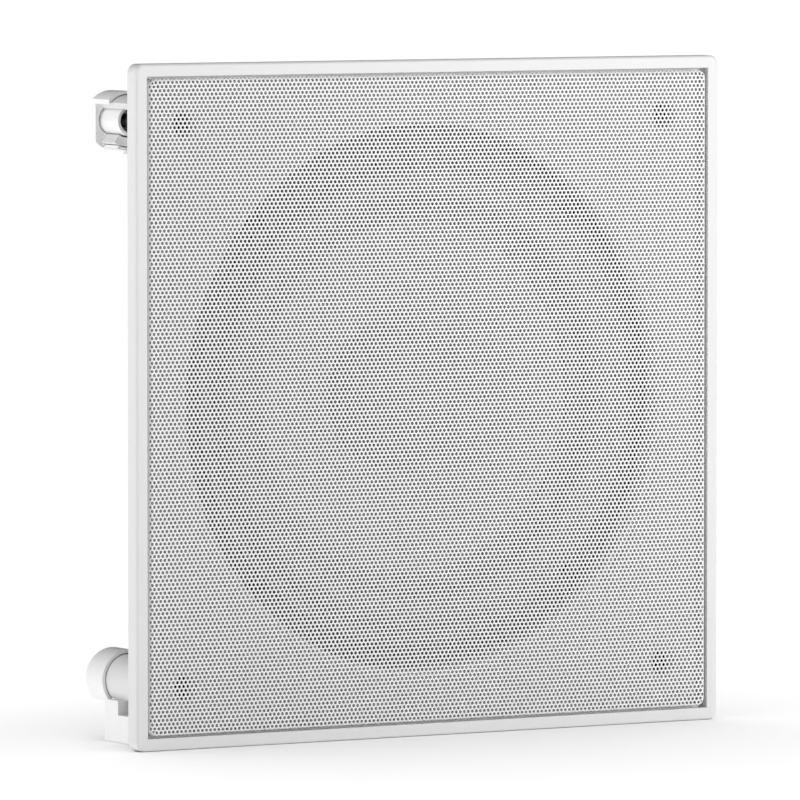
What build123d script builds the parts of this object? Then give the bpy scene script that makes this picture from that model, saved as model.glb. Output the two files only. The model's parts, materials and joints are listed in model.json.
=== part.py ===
from build123d import *

import math
import os

os.makedirs("parts", exist_ok=True)

# A square in-wall loudspeaker with a flush perforated grille and four turn-out wall clamps, in millimetres.
# X runs across, Y runs back into the wall and Z runs up. The origin is the middle of the wall plane, where
# the back of the flange meets the wall. The grille faces -Y.

# Frame and baffle, one white moulding
frame_size = 217.0
frame_corner = 3.0
frame_edge = 1.0
flange_depth = 5.5
bezel_width = 4.0
baffle_thickness = 4.0
spigot_inset = 11.5
spigot_wall = 2.5
spigot_depth = 8.0
rib_thickness = 2.4

# Driver well in the middle of the baffle
well_radius = 88.0
well_depth = 10.5
well_lip = 3.0
well_wall = 3.0
ledge_width = 14.0
ledge_thickness = 3.0

# Grille, a folded steel pan with a staggered perforation
grille_depth = 3.0
grille_gap = 0.8
grille_sheet = 0.6
grille_corner = 2.5
grille_bend = 1.0
perforation_pitch = 20.7
perforation_hole = 12.4
perforation_margin = 3.0

# Grille magnets, set into the back of the baffle
magnet_radius = 4.0
magnet_skin = 1.0
magnet_play = 0.1
magnet_inset = 11.0
magnet_spread = 55.0

# Wall clamps: a C-shaped tower, an end cap, a turning dog and its screw at each corner
clamp_inset = 19.2
tower_radius = 8.25
tower_bore = 5.4
tower_base = 8.0
tower_back = 43.3
tower_lip = 45.0
tower_heel = 150.0
tower_end_heel = 55.0
cap_wall = 1.0
cap_play = 0.3
cap_length = 11.6
cap_plate = 2.7
cap_flat = 6.7
cap_heel = 67.0
cap_eye = 5.6
cap_edge = 0.6
dog_hub = 4.8
dog_hub_front = 32.0
dog_core = 3.9
dog_core_depth = 6.0
dog_play = 0.3
dog_reach = 19.1
dog_far_side = 0.6
dog_near_side = 8.9
dog_neck_front = 25.4
dog_paw_front = 18.5
dog_paw_notch = 10.4
dog_wall = 2.0
dog_swing = 135.0
screw_radius = 2.25
screw_play = 0.06
screw_head_radius = 3.8
screw_head_height = 2.9
screw_head_round = 0.7
screw_tip = 0.5
screw_recess_radius = 4.2
screw_seat = 4.5
cross_width = 1.0
cross_length = 4.4
cross_depth = 1.5

# Driver: basket, cone and motor
basket_play = 1.0
basket_sheet = 1.2
driver_gasket = 1.0
spider_seat_radius = 47.0
spider_seat_y = 33.0
motor_seat_radius = 38.0
motor_seat_y = 41.0
motor_seat_bore = 20.0
window_count = 12
window_inset = 4.0
window_outset = 7.0
window_spoke = 13.0
window_round = 2.5
surround_sheet = 0.8
surround_landing = 5.0
surround_play = 0.3
roll_radius = 6.0
cone_paper = 0.8
cone_landing = 6.0
cone_neck_y = 27.0
cone_belly = 3.0
dust_cap_radius = 24.0
dust_cap_height = 7.5
glue_line = 0.1
former_radius = 16.2
former_sheet = 0.5
former_front = 24.5
former_tail = 0.5
coil_radius = 16.95
coil_length = 8.0
spider_sheet = 0.8
spider_wave = 1.4
spider_waves = 4
spider_play = 0.3
air_gap = 0.55
top_plate_radius = 42.0
top_plate_thickness = 5.0
ferrite_radius = 45.0
ferrite_bore = 24.0
ferrite_thickness = 17.0
back_plate_thickness = 5.0
pole_play = 0.5
pole_vent = 4.0
motor_edge = 1.0

# Driver screws
driver_screw_count = 4
driver_screw_inset = 5.0
driver_screw_start = 45.0
driver_screw_radius = 1.5
driver_screw_head = 2.7
driver_screw_head_height = 1.8
driver_screw_bite = 2.4
pilot_play = 0.05
through_play = 0.3

# Push terminal on the back of the ledge, and the tag strip on the basket
block_lift = 0.5
block_width = 40.0
block_height = 13.0
block_depth = 16.0
ear_width = 7.0
ear_height = 8.0
ear_thickness = 3.0
lever_spacing = 19.0
lever_width = 14.4
lever_height = 7.0
lever_depth = 9.0
lever_proud = 4.0
lever_rise = 4.0
lever_play = 0.3
lever_round = 1.5
lever_pin = 1.0
lever_pin_play = 0.08
lever_pin_bite = 1.5
lever_pin_drop = 1.5
lever_pin_back = 3.0
pocket_depth = 10.0
pocket_above = 1.0
pocket_below = 1.5
wire_hole = 1.6
wire_hole_back = 7.0
tag_width = 20.0
tag_margin = 1.25
tag_thickness = 1.6
tag_lug = 3.0
tag_lug_length = 6.0
tag_lug_sheet = 0.6
tag_lug_spacing = 10.0

# Edges are picked by their radius to within this
radius_tolerance = 0.01

# Derived places
front_y = -flange_depth
face_y = front_y + grille_depth
opening_size = frame_size - 2 * bezel_width
grille_size = opening_size - 2 * grille_gap
spigot_size = frame_size - 2 * spigot_inset
ledge_y = face_y + well_depth
ledge_back = ledge_y + ledge_thickness
ledge_bore = well_radius - ledge_width
ring_radius = well_radius + well_wall
clamp_place = frame_size / 2 - clamp_inset
magnet_place = spigot_size / 2 - magnet_inset
cap_bore = tower_radius + cap_play
cap_radius = cap_bore + cap_wall
cap_back = tower_back + cap_plate
cap_front = cap_back - cap_length
driver_screw_circle = well_radius - driver_screw_inset

# Each corner's outward turn, counted anticlockwise from +X as the grille is faced: the clamps form a pinwheel
corners = {
    "top_left": (-1, 1, 180.0),
    "bottom_left": (-1, -1, 270.0),
    "bottom_right": (1, -1, 0.0),
    "top_right": (1, 1, 90.0),
}
turned_out = ["bottom_left"]


def across(depth):
    """The upright plane at a depth behind the wall plane. A negative extrude runs back into the wall."""
    return Plane.XZ.offset(-depth)


def around(place, turn, depth):
    """An upright plane centred on a clamp, with its local x pointing along the turn."""
    along = (math.cos(math.radians(turn)), 0, math.sin(math.radians(turn)))
    return Plane(origin=(place[0], depth, place[1]), x_dir=along, z_dir=(0, -1, 0))


def polar(radius, turn):
    """A point at a radius and a turn in degrees."""
    return (radius * math.cos(math.radians(turn)), radius * math.sin(math.radians(turn)))


def wedge(start, end, radius, step=60):
    """Points of a fan from one turn to another, wide enough to clear a circle of half the radius."""
    steps = math.ceil((end - start) / step)
    return [(0, 0)] + [polar(radius, start + (end - start) * i / steps) for i in range(steps + 1)]


def pressed_sheet(back, thickness):
    """The closed section of a pressed sheet, from the points of its back listed from rim to bore."""
    rim = (back[0][0], back[0][1] - thickness)
    bore = (back[-1][0], back[-1][1] - thickness)
    front = [(radius - thickness, y - thickness) for radius, y in back[1:-1]]
    return back + [bore] + front[::-1] + [rim]


def place_of(corner):
    """The X and Z of a clamp's screw."""
    side, level, _ = corners[corner]
    return (side * clamp_place, level * clamp_place)


clamp_places = [place_of(corner) for corner in corners]
magnet_places = [(x * magnet_spread, z * magnet_place) for x in (-1, 1) for z in (-1, 1)]
magnet_places += [(x * magnet_place, z * magnet_spread) for x in (-1, 1) for z in (-1, 1)]
driver_screw_places = [
    polar(driver_screw_circle, driver_screw_start + 360 * i / driver_screw_count)
    for i in range(driver_screw_count)
]
block_z = block_lift - (ledge_bore + ring_radius) / 2
ear_screw_x = (block_width + ear_width) / 2
ear_screw_places = [(-ear_screw_x, block_z), (ear_screw_x, block_z)]

# Frame and baffle: flange, spigot, driver well, ribs and the four C-shaped towers
with BuildPart() as baffle_frame:
    with BuildSketch(across(front_y)):
        RectangleRounded(frame_size, frame_size, frame_corner)
    extrude(amount=-flange_depth)
    fillet(baffle_frame.faces().sort_by(Axis.Y)[0].edges(), frame_edge)
    with BuildSketch(across(front_y)):
        Rectangle(opening_size, opening_size)
    extrude(amount=-grille_depth, mode=Mode.SUBTRACT)
    with BuildSketch(across(face_y)):
        Rectangle(spigot_size, spigot_size)
    extrude(amount=-baffle_thickness)
    with BuildSketch(across(0)):
        Rectangle(spigot_size, spigot_size)
        Rectangle(spigot_size - 2 * spigot_wall, spigot_size - 2 * spigot_wall, mode=Mode.SUBTRACT)
        for turn in (45, 135):
            Rectangle(2 * math.hypot(*clamp_places[0]), rib_thickness, rotation=turn)
    extrude(amount=-spigot_depth)
    with BuildSketch(across(face_y)):
        Circle(ring_radius)
    extrude(amount=-(ledge_back - face_y))
    with BuildSketch(across(0)):
        with Locations(*clamp_places):
            Circle(tower_radius)
    extrude(amount=-tower_base)
    tower_runs = [(tower_base, cap_front, tower_heel), (cap_front, tower_back, tower_end_heel)]
    for corner, (*_, outward) in corners.items():
        for run_front, run_back, heel in tower_runs:
            with BuildSketch(around(place_of(corner), outward, run_front)):
                Circle(tower_radius)
                Circle(tower_bore, mode=Mode.SUBTRACT)
                Polygon(*wedge(-tower_lip, heel, 2 * tower_radius), align=None, mode=Mode.SUBTRACT)
            extrude(amount=-(run_back - run_front))
    with BuildSketch(across(face_y)):
        with Locations(*clamp_places):
            Circle(screw_recess_radius)
    extrude(amount=-(screw_seat - face_y), mode=Mode.SUBTRACT)
    with BuildSketch(across(screw_seat)):
        with Locations(*clamp_places):
            Circle(screw_radius + screw_play)
    extrude(amount=-(tower_base - screw_seat), mode=Mode.SUBTRACT)
    with BuildSketch(across(face_y)):
        Circle(well_radius)
    extrude(amount=-well_depth, mode=Mode.SUBTRACT)
    lip = baffle_frame.edges().filter_by(GeomType.CIRCLE)
    lip = lip.filter_by(lambda edge: abs(edge.radius - well_radius) < radius_tolerance).sort_by(Axis.Y)[0]
    fillet(lip, well_lip)
    with BuildSketch(across(ledge_y)):
        Circle(ledge_bore)
    extrude(amount=-ledge_thickness, mode=Mode.SUBTRACT)
    with BuildSketch(across(ledge_y)):
        with Locations(*driver_screw_places, *ear_screw_places):
            Circle(driver_screw_radius + pilot_play)
    extrude(amount=-ledge_thickness, mode=Mode.SUBTRACT)
    with BuildSketch(across(face_y + magnet_skin)):
        with Locations(*magnet_places):
            Circle(magnet_radius + magnet_play)
    extrude(amount=-(baffle_thickness - magnet_skin), mode=Mode.SUBTRACT)
baffle_frame.part.label = "baffle_frame"
export_step(baffle_frame.part, "parts/baffle_frame.step")

# Grille: a shallow pan with rounded folds and hexagonal gaps in staggered rows
row_pitch = perforation_pitch * math.sqrt(3) / 2
perforated_size = grille_size - 2 * (grille_bend + perforation_margin) - perforation_hole
hole_columns = int(perforated_size // perforation_pitch)
hole_rows = int(perforated_size // (2 * row_pitch))
with BuildPart() as grille:
    with BuildSketch(across(front_y)):
        RectangleRounded(grille_size, grille_size, grille_corner)
    extrude(amount=-grille_depth)
    fillet(grille.faces().sort_by(Axis.Y)[0].edges(), grille_bend)
    with BuildSketch(across(front_y + grille_sheet)):
        Rectangle(grille_size - 2 * grille_sheet, grille_size - 2 * grille_sheet)
    extrude(amount=-(grille_depth - grille_sheet), mode=Mode.SUBTRACT)
    with BuildSketch(across(front_y)):
        with GridLocations(perforation_pitch, 2 * row_pitch, hole_columns + 1, hole_rows):
            RegularPolygon(perforation_hole / 2, 6, rotation=30)
        with GridLocations(perforation_pitch, 2 * row_pitch, hole_columns, hole_rows + 1):
            RegularPolygon(perforation_hole / 2, 6, rotation=30)
    extrude(amount=-grille_sheet, mode=Mode.SUBTRACT)
grille.part.label = "grille"
export_step(grille.part, "parts/grille.step")

# Grille magnets, flush with the back of the baffle
with BuildPart() as grille_magnets:
    with BuildSketch(across(face_y + magnet_skin)):
        with Locations(*magnet_places):
            Circle(magnet_radius)
    extrude(amount=-(baffle_thickness - magnet_skin))
grille_magnets.part.label = "grille_magnets"
export_step(grille_magnets.part, "parts/grille_magnets.step")

# Wall clamps, one set for each corner
dog_hub_back = cap_back - dog_play
dog_neck_back = cap_front - dog_play
lip_x, lip_z = polar(tower_radius, -tower_lip)
hub_x, hub_z = polar(dog_hub, -tower_lip)
screw_back = cap_back - dog_play
paw_core = dog_near_side + dog_far_side - dog_wall
for corner, (*_, outward) in corners.items():
    place = place_of(corner)

    # End cap: a cup over the tower's end, cut flat on its outward side and open like the tower, with an eye
    # in its plate for the end of the dog's hub
    with BuildPart() as clamp_cap:
        with BuildSketch(around(place, outward, cap_front)):
            Circle(cap_radius)
            Circle(cap_bore, mode=Mode.SUBTRACT)
            with Locations((cap_flat, 0)):
                Rectangle(cap_radius, 2 * cap_radius, align=(Align.MIN, Align.CENTER), mode=Mode.SUBTRACT)
            Polygon(*wedge(0, cap_heel, 2 * cap_radius), align=None, mode=Mode.SUBTRACT)
        extrude(amount=-(cap_length - cap_plate))
        with BuildSketch(around(place, outward, tower_back)):
            Circle(cap_radius)
            Circle(cap_eye, mode=Mode.SUBTRACT)
            with Locations((cap_flat, 0)):
                Rectangle(cap_radius, 2 * cap_radius, align=(Align.MIN, Align.CENTER), mode=Mode.SUBTRACT)
        extrude(amount=-cap_plate)
        fillet(clamp_cap.faces().sort_by(Axis.Y)[-1].outer_wire().edges(), cap_edge)
    clamp_cap.part.label = f"clamp_cap_{corner}"
    export_step(clamp_cap.part, f"parts/clamp_cap_{corner}.step")

    # Dog: a hub on the screw with a hooked wing, whose shoulder stops on the tower lip when it is turned out
    turn = outward if corner in turned_out else outward + dog_swing
    with BuildPart() as clamp_dog:
        with BuildSketch(around(place, turn, dog_hub_front)):
            Circle(dog_hub)
        extrude(amount=-(dog_hub_back - dog_hub_front))
        with BuildSketch(around(place, turn, dog_hub_front)):
            Circle(dog_core)
        extrude(amount=-dog_core_depth, mode=Mode.SUBTRACT)
        with BuildSketch(around(place, turn, dog_neck_front)):
            with BuildLine():
                Polyline(
                    (0, dog_far_side),
                    (hub_x + dog_play / 2, hub_z + dog_play),
                    (lip_x + dog_play, lip_z + dog_play / 2),
                    (lip_x, -dog_near_side),
                    (dog_reach, -dog_near_side),
                    (dog_reach, dog_far_side),
                    close=True,
                )
            make_face()
        extrude(amount=-(dog_neck_back - dog_neck_front))
        with BuildSketch(around(place, turn, dog_paw_front)):
            with Locations((dog_paw_notch, -dog_near_side)):
                Rectangle(
                    dog_reach - dog_paw_notch, dog_near_side + dog_far_side, align=(Align.MIN, Align.MIN)
                )
        extrude(amount=-(dog_neck_front - dog_paw_front))
        with BuildSketch(around(place, turn, dog_paw_front + dog_wall)):
            with Locations((dog_paw_notch + dog_wall, dog_far_side)):
                Rectangle(dog_reach - dog_paw_notch - 2 * dog_wall, paw_core, align=(Align.MIN, Align.MAX))
        extrude(amount=-(dog_neck_back - dog_paw_front - 2 * dog_wall), mode=Mode.SUBTRACT)
        with BuildSketch(around(place, turn, dog_neck_front)):
            Circle(screw_radius + screw_play)
        extrude(amount=-(dog_hub_back - dog_neck_front), mode=Mode.SUBTRACT)
    clamp_dog.part.label = f"clamp_dog_{corner}"
    export_step(clamp_dog.part, f"parts/clamp_dog_{corner}.step")

    # Screw: pan head in the baffle's recess, shank through the dog
    with BuildPart() as clamp_screw:
        with BuildSketch(around(place, outward, screw_seat - screw_head_height)):
            Circle(screw_head_radius)
        extrude(amount=-screw_head_height)
        fillet(clamp_screw.faces().sort_by(Axis.Y)[0].edges(), screw_head_round)
        with BuildSketch(around(place, outward, screw_seat)):
            Circle(screw_radius)
        extrude(amount=-(screw_back - screw_seat))
        chamfer(clamp_screw.faces().sort_by(Axis.Y)[-1].edges(), screw_tip)
        with BuildSketch(around(place, outward, screw_seat - screw_head_height)):
            Rectangle(cross_length, cross_width)
            Rectangle(cross_width, cross_length)
        extrude(amount=-cross_depth, mode=Mode.SUBTRACT)
    clamp_screw.part.label = f"clamp_screw_{corner}"
    export_step(clamp_screw.part, f"parts/clamp_screw_{corner}.step")

# Driver gasket, on the ledge of the well
basket_radius = well_radius - basket_play
flange_back = ledge_y - driver_gasket
flange_front = flange_back - basket_sheet
with BuildPart() as gasket_ring:
    with BuildSketch(across(flange_back)):
        Circle(basket_radius)
        Circle(ledge_bore, mode=Mode.SUBTRACT)
        with Locations(*driver_screw_places):
            Circle(driver_screw_radius + through_play, mode=Mode.SUBTRACT)
    extrude(amount=-driver_gasket)
gasket_ring.part.label = "driver_gasket"
export_step(gasket_ring.part, "parts/driver_gasket.step")

# Basket: a pressed bowl with spoked windows, a spider seat and a motor seat
throat_radius = ledge_bore - basket_play
basket_back = [
    (basket_radius, flange_back),
    (throat_radius, flange_back),
    (spider_seat_radius, spider_seat_y),
    (motor_seat_radius, spider_seat_y),
    (motor_seat_radius, motor_seat_y),
    (motor_seat_bore, motor_seat_y),
]
window_inner = spider_seat_radius + window_inset
window_outer = throat_radius - window_outset
window_step = math.pi / window_count
window_half_in = window_inner * math.sin(window_step) - window_spoke / 2
window_half_out = window_outer * math.sin(window_step) - window_spoke / 2
with BuildPart() as basket:
    with BuildSketch(Plane.XY):
        Polygon(*pressed_sheet(basket_back, basket_sheet), align=None)
    revolve(axis=Axis.Y)
    with BuildSketch(across(flange_front)) as windows:
        with PolarLocations(0, window_count):
            Polygon(
                (window_inner, -window_half_in),
                (window_outer, -window_half_out),
                (window_outer, window_half_out),
                (window_inner, window_half_in),
                align=None,
            )
        fillet(windows.vertices(), window_round)
    extrude(amount=-(motor_seat_y - flange_front), mode=Mode.SUBTRACT)
    with BuildSketch(across(flange_front)):
        with Locations(*driver_screw_places):
            Circle(driver_screw_radius + through_play)
    extrude(amount=-basket_sheet, mode=Mode.SUBTRACT)
basket.part.label = "basket"
export_step(basket.part, "parts/basket.step")

# Surround: a half roll between the basket's flange and the cone's edge
landing_radius = driver_screw_circle - driver_screw_head - surround_play
roll_place = landing_radius - surround_landing - roll_radius
cone_edge_radius = roll_place - roll_radius
with BuildPart() as surround:
    with BuildSketch(Plane.XY):
        with Locations((roll_place, flange_front)):
            Circle(roll_radius)
            Circle(roll_radius - surround_sheet, mode=Mode.SUBTRACT)
            Rectangle(roll_place, roll_place, align=(Align.CENTER, Align.MIN), mode=Mode.SUBTRACT)
        with Locations((roll_place + roll_radius - surround_sheet, flange_front)):
            Rectangle(surround_landing + surround_sheet, surround_sheet, align=(Align.MIN, Align.MAX))
        with Locations((cone_edge_radius + surround_sheet, flange_front)):
            Rectangle(cone_landing + surround_sheet, surround_sheet, align=(Align.MAX, Align.MAX))
    revolve(axis=Axis.Y)
surround.part.label = "surround"
export_step(surround.part, "parts/surround.step")

# Cone: a flat rim under the surround, then a curved flare down to the neck
rim_radius = cone_edge_radius - cone_landing
neck_radius = former_radius + glue_line
rim_back = flange_front + cone_paper
belly = ((rim_radius + neck_radius) / 2 - cone_belly, (flange_front + cone_neck_y) / 2 - cone_belly)
belly_back = (belly[0], belly[1] + cone_paper)
with BuildPart() as cone:
    with BuildSketch(Plane.XY):
        with BuildLine():
            Polyline(
                (rim_radius, flange_front),
                (cone_edge_radius, flange_front),
                (cone_edge_radius, rim_back),
                (rim_radius, rim_back),
            )
            ThreePointArc((rim_radius, rim_back), belly_back, (neck_radius, cone_neck_y + cone_paper))
            Line((neck_radius, cone_neck_y + cone_paper), (neck_radius, cone_neck_y))
            ThreePointArc((neck_radius, cone_neck_y), belly, (rim_radius, flange_front))
        make_face()
    revolve(axis=Axis.Y)
cone.part.label = "cone"
export_step(cone.part, "parts/cone.step")

# Dust cap: a shallow dome glued to the cone's flare
flare = ThreePointArc((neck_radius, cone_neck_y), belly, (rim_radius, flange_front))
flare_drop = math.sqrt(flare.radius**2 - (dust_cap_radius - flare.arc_center.X) ** 2)
dust_cap_y = flare.arc_center.Y - flare_drop - glue_line
dome_radius = (dust_cap_radius**2 + dust_cap_height**2) / (2 * dust_cap_height)
with BuildPart() as dust_cap:
    with BuildSketch(Plane.XY):
        with Locations((0, dust_cap_y - dust_cap_height + dome_radius)):
            Circle(dome_radius)
            Circle(dome_radius - cone_paper, mode=Mode.SUBTRACT)
        with Locations((0, dust_cap_y)):
            Rectangle(
                dust_cap_radius, 2 * dust_cap_height, align=(Align.MIN, Align.MAX), mode=Mode.INTERSECT
            )
    revolve(axis=Axis.Y)
dust_cap.part.label = "dust_cap"
export_step(dust_cap.part, "parts/dust_cap.step")

# Voice coil and its former, in the motor's air gap
coil_middle = motor_seat_y + top_plate_thickness / 2
coil_front = coil_middle - coil_length / 2
former_back = coil_middle + coil_length / 2 + former_tail
with BuildPart() as coil_former:
    with BuildSketch(across(former_front)):
        Circle(former_radius)
        Circle(former_radius - former_sheet, mode=Mode.SUBTRACT)
    extrude(amount=-(former_back - former_front))
coil_former.part.label = "coil_former"
export_step(coil_former.part, "parts/coil_former.step")

with BuildPart() as voice_coil:
    with BuildSketch(across(coil_front)):
        Circle(coil_radius)
        Circle(former_radius + glue_line, mode=Mode.SUBTRACT)
    extrude(amount=-coil_length)
voice_coil.part.label = "voice_coil"
export_step(voice_coil.part, "parts/voice_coil.step")

# Spider: a corrugated disc from the basket's seat to the former
spider_front = spider_seat_y - basket_sheet - spider_sheet
spider_inner = former_radius + spider_play
spider_outer = motor_seat_radius - basket_sheet
wave_step = (spider_outer - spider_inner) / (2 * spider_waves + 1)
spider_line = [(spider_inner, spider_front)]
for i in range(1, 2 * spider_waves + 1):
    spider_line.append((spider_inner + i * wave_step, spider_front + spider_wave * (-1) ** i))
spider_line += [(spider_outer, spider_front), (spider_seat_radius - 2 * basket_sheet, spider_front)]
with BuildPart() as spider:
    with BuildSketch(Plane.XY):
        Polygon(*spider_line, *[(radius, y + spider_sheet) for radius, y in spider_line[::-1]], align=None)
    revolve(axis=Axis.Y)
spider.part.label = "spider"
export_step(spider.part, "parts/spider.step")

# Motor: top plate, ferrite ring, and the back plate with its vented pole
top_plate_back = motor_seat_y + top_plate_thickness
ferrite_back = top_plate_back + ferrite_thickness
pole_radius = former_radius - former_sheet - pole_play
with BuildPart() as top_plate:
    with BuildSketch(across(motor_seat_y)):
        Circle(top_plate_radius)
        Circle(coil_radius + air_gap, mode=Mode.SUBTRACT)
    extrude(amount=-top_plate_thickness)
top_plate.part.label = "top_plate"
export_step(top_plate.part, "parts/top_plate.step")

with BuildPart() as ferrite_ring:
    with BuildSketch(across(top_plate_back)):
        Circle(ferrite_radius)
        Circle(ferrite_bore, mode=Mode.SUBTRACT)
    extrude(amount=-ferrite_thickness)
    rims = ferrite_ring.edges().filter_by(GeomType.CIRCLE)
    chamfer(rims.filter_by(lambda edge: abs(edge.radius - ferrite_radius) < radius_tolerance), motor_edge)
ferrite_ring.part.label = "ferrite_ring"
export_step(ferrite_ring.part, "parts/ferrite_ring.step")

with BuildPart() as pole_yoke:
    with BuildSketch(across(motor_seat_y)):
        Circle(pole_radius)
    extrude(amount=-(ferrite_back - motor_seat_y))
    with BuildSketch(across(ferrite_back)):
        Circle(top_plate_radius)
    extrude(amount=-back_plate_thickness)
    chamfer(pole_yoke.faces().sort_by(Axis.Y)[-1].edges(), motor_edge)
    with BuildSketch(across(motor_seat_y)):
        Circle(pole_vent)
    extrude(amount=-(ferrite_back + back_plate_thickness - motor_seat_y), mode=Mode.SUBTRACT)
pole_yoke.part.label = "pole_yoke"
export_step(pole_yoke.part, "parts/pole_yoke.step")

# Driver screws, through the basket's flange and the gasket into the ledge
with BuildPart() as driver_screws:
    with BuildSketch(across(flange_front - driver_screw_head_height)):
        with Locations(*driver_screw_places):
            Circle(driver_screw_head)
    extrude(amount=-driver_screw_head_height)
    with BuildSketch(across(flange_front)):
        with Locations(*driver_screw_places):
            Circle(driver_screw_radius)
    extrude(amount=-(ledge_y + driver_screw_bite - flange_front))
driver_screws.part.label = "driver_screws"
export_step(driver_screws.part, "parts/driver_screws.step")

# Push terminal: a block with two lever pockets and screw ears, on the back of the ledge
block_back = ledge_back + block_depth
lever_top = block_z + lever_rise
pin_z = lever_top - lever_pin_drop
pin_y = block_back - lever_pin_back
pocket_width = lever_width + 2 * lever_play
pocket_height = lever_height + pocket_above + pocket_below
lever_places = {"red": -lever_spacing / 2, "black": lever_spacing / 2}
pin_half = lever_width / 2 + lever_play + lever_pin_bite
with BuildPart() as terminal_block:
    with BuildSketch(across(ledge_back)):
        with Locations((0, block_z)):
            Rectangle(block_width, block_height)
    extrude(amount=-block_depth)
    with BuildSketch(across(ledge_back)):
        with Locations((0, block_z)):
            Rectangle(block_width + 2 * ear_width, ear_height)
        with Locations(*ear_screw_places):
            Circle(driver_screw_radius + through_play, mode=Mode.SUBTRACT)
    extrude(amount=-ear_thickness)
    with BuildSketch(across(block_back - pocket_depth)):
        for place in lever_places.values():
            with Locations((place, lever_top + pocket_above)):
                Rectangle(pocket_width, pocket_height, align=(Align.CENTER, Align.MAX))
    extrude(amount=-pocket_depth, mode=Mode.SUBTRACT)
    for place in lever_places.values():
        with BuildSketch(Plane.YZ.offset(place)):
            with Locations((pin_y, pin_z)):
                Circle(lever_pin + lever_pin_play)
        extrude(amount=pin_half + lever_play, both=True, mode=Mode.SUBTRACT)
        with BuildSketch(Plane.XY.offset(block_z - block_height / 2)):
            with Locations((place, block_back - wire_hole_back)):
                Circle(wire_hole)
        extrude(amount=block_height / 2, mode=Mode.SUBTRACT)
terminal_block.part.label = "terminal_block"
export_step(terminal_block.part, "parts/terminal_block.step")

for colour, place in lever_places.items():
    with BuildPart() as lever:
        with BuildSketch(Plane.YZ.offset(place)):
            with Locations((block_back + lever_proud, lever_top)):
                Rectangle(lever_depth, lever_height, align=(Align.MAX, Align.MAX))
        extrude(amount=lever_width / 2, both=True)
        fillet(lever.faces().sort_by(Axis.Y)[-1].edges(), lever_round)
        with BuildSketch(Plane.YZ.offset(place)):
            with Locations((pin_y, pin_z)):
                Circle(lever_pin)
        extrude(amount=pin_half, both=True)
    lever.part.label = f"terminal_lever_{colour}"
    export_step(lever.part, f"parts/terminal_lever_{colour}.step")

with BuildPart() as terminal_screws:
    with BuildSketch(across(ledge_back + ear_thickness)):
        with Locations(*ear_screw_places):
            Circle(driver_screw_head)
    extrude(amount=-driver_screw_head_height)
    with BuildSketch(across(ledge_back - driver_screw_bite)):
        with Locations(*ear_screw_places):
            Circle(driver_screw_radius)
    extrude(amount=-(driver_screw_bite + ear_thickness))
terminal_screws.part.label = "terminal_screws"
export_step(terminal_screws.part, "parts/terminal_screws.step")

# Tag strip on the back of the spider seat, with its two solder lugs
tag_z = -(spider_seat_radius + motor_seat_radius) / 2
tag_height = spider_seat_radius - motor_seat_radius - 2 * tag_margin
tag_back = spider_seat_y + tag_thickness
with BuildPart() as tag_strip:
    with BuildSketch(across(spider_seat_y)):
        with Locations((0, tag_z)):
            Rectangle(tag_width, tag_height)
    extrude(amount=-tag_thickness)
tag_strip.part.label = "tag_strip"
export_step(tag_strip.part, "parts/tag_strip.step")

with BuildPart() as tag_lugs:
    with BuildSketch(across(tag_back)):
        with Locations((-tag_lug_spacing / 2, tag_z), (tag_lug_spacing / 2, tag_z)):
            Rectangle(tag_lug, tag_lug_length, align=(Align.CENTER, Align.MAX))
    extrude(amount=-tag_lug_sheet)
tag_lugs.part.label = "tag_lugs"
export_step(tag_lugs.part, "parts/tag_lugs.step")
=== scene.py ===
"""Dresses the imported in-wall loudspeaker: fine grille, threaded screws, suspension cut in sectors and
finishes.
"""

import json
import math

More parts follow.
